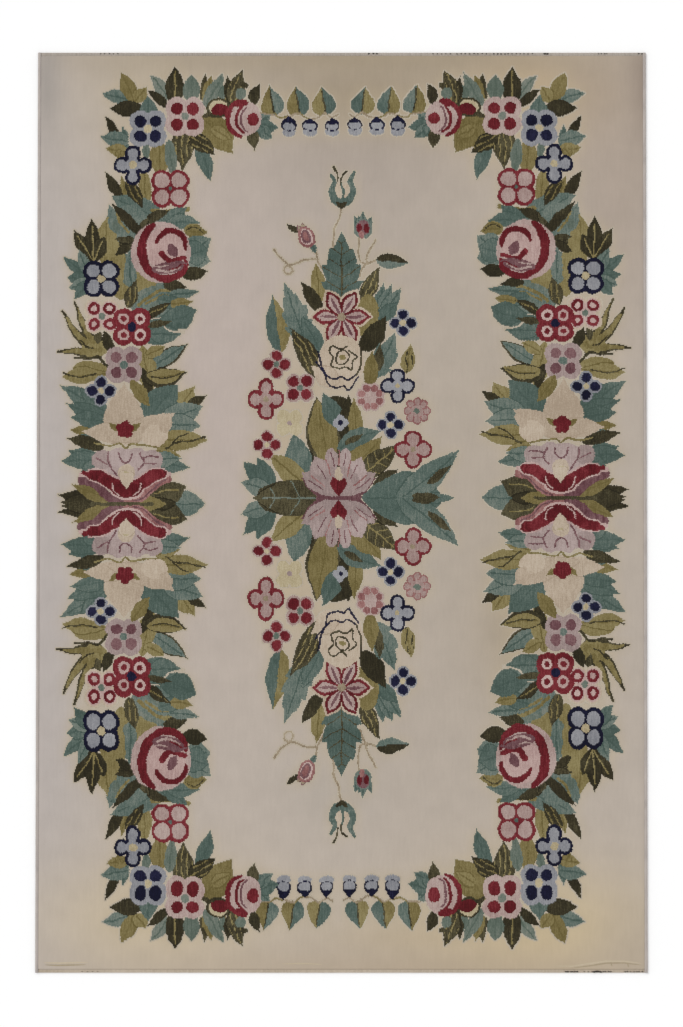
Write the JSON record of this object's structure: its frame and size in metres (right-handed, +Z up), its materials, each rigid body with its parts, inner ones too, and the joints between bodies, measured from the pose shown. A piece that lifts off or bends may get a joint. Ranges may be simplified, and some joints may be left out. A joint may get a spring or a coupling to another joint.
{
  "type": "indian rug",
  "caption": "Flat short-pile wool rug with a flower garland and a centre spray on a beige ground, flat-woven ends and yarn-bound long sides.",
  "frame": {"origin": "middle of the ground that the rug covers, at the level of its flat back", "axes": "+X across the rug to its right, +Y along its length to its far end, +Z up out of the pile"},
  "size_m": [1.8374, 2.758, 0.0084],
  "materials": {
    "wool_pile": "matte short wool pile",
    "binding_yarn": "matte overcast wool yarn"
  },
  "bodies": {
    "root": {"rug": "wool_pile", "bound_side_left": "binding_yarn", "bound_side_right": "binding_yarn"}
  },
  "joints": []
}
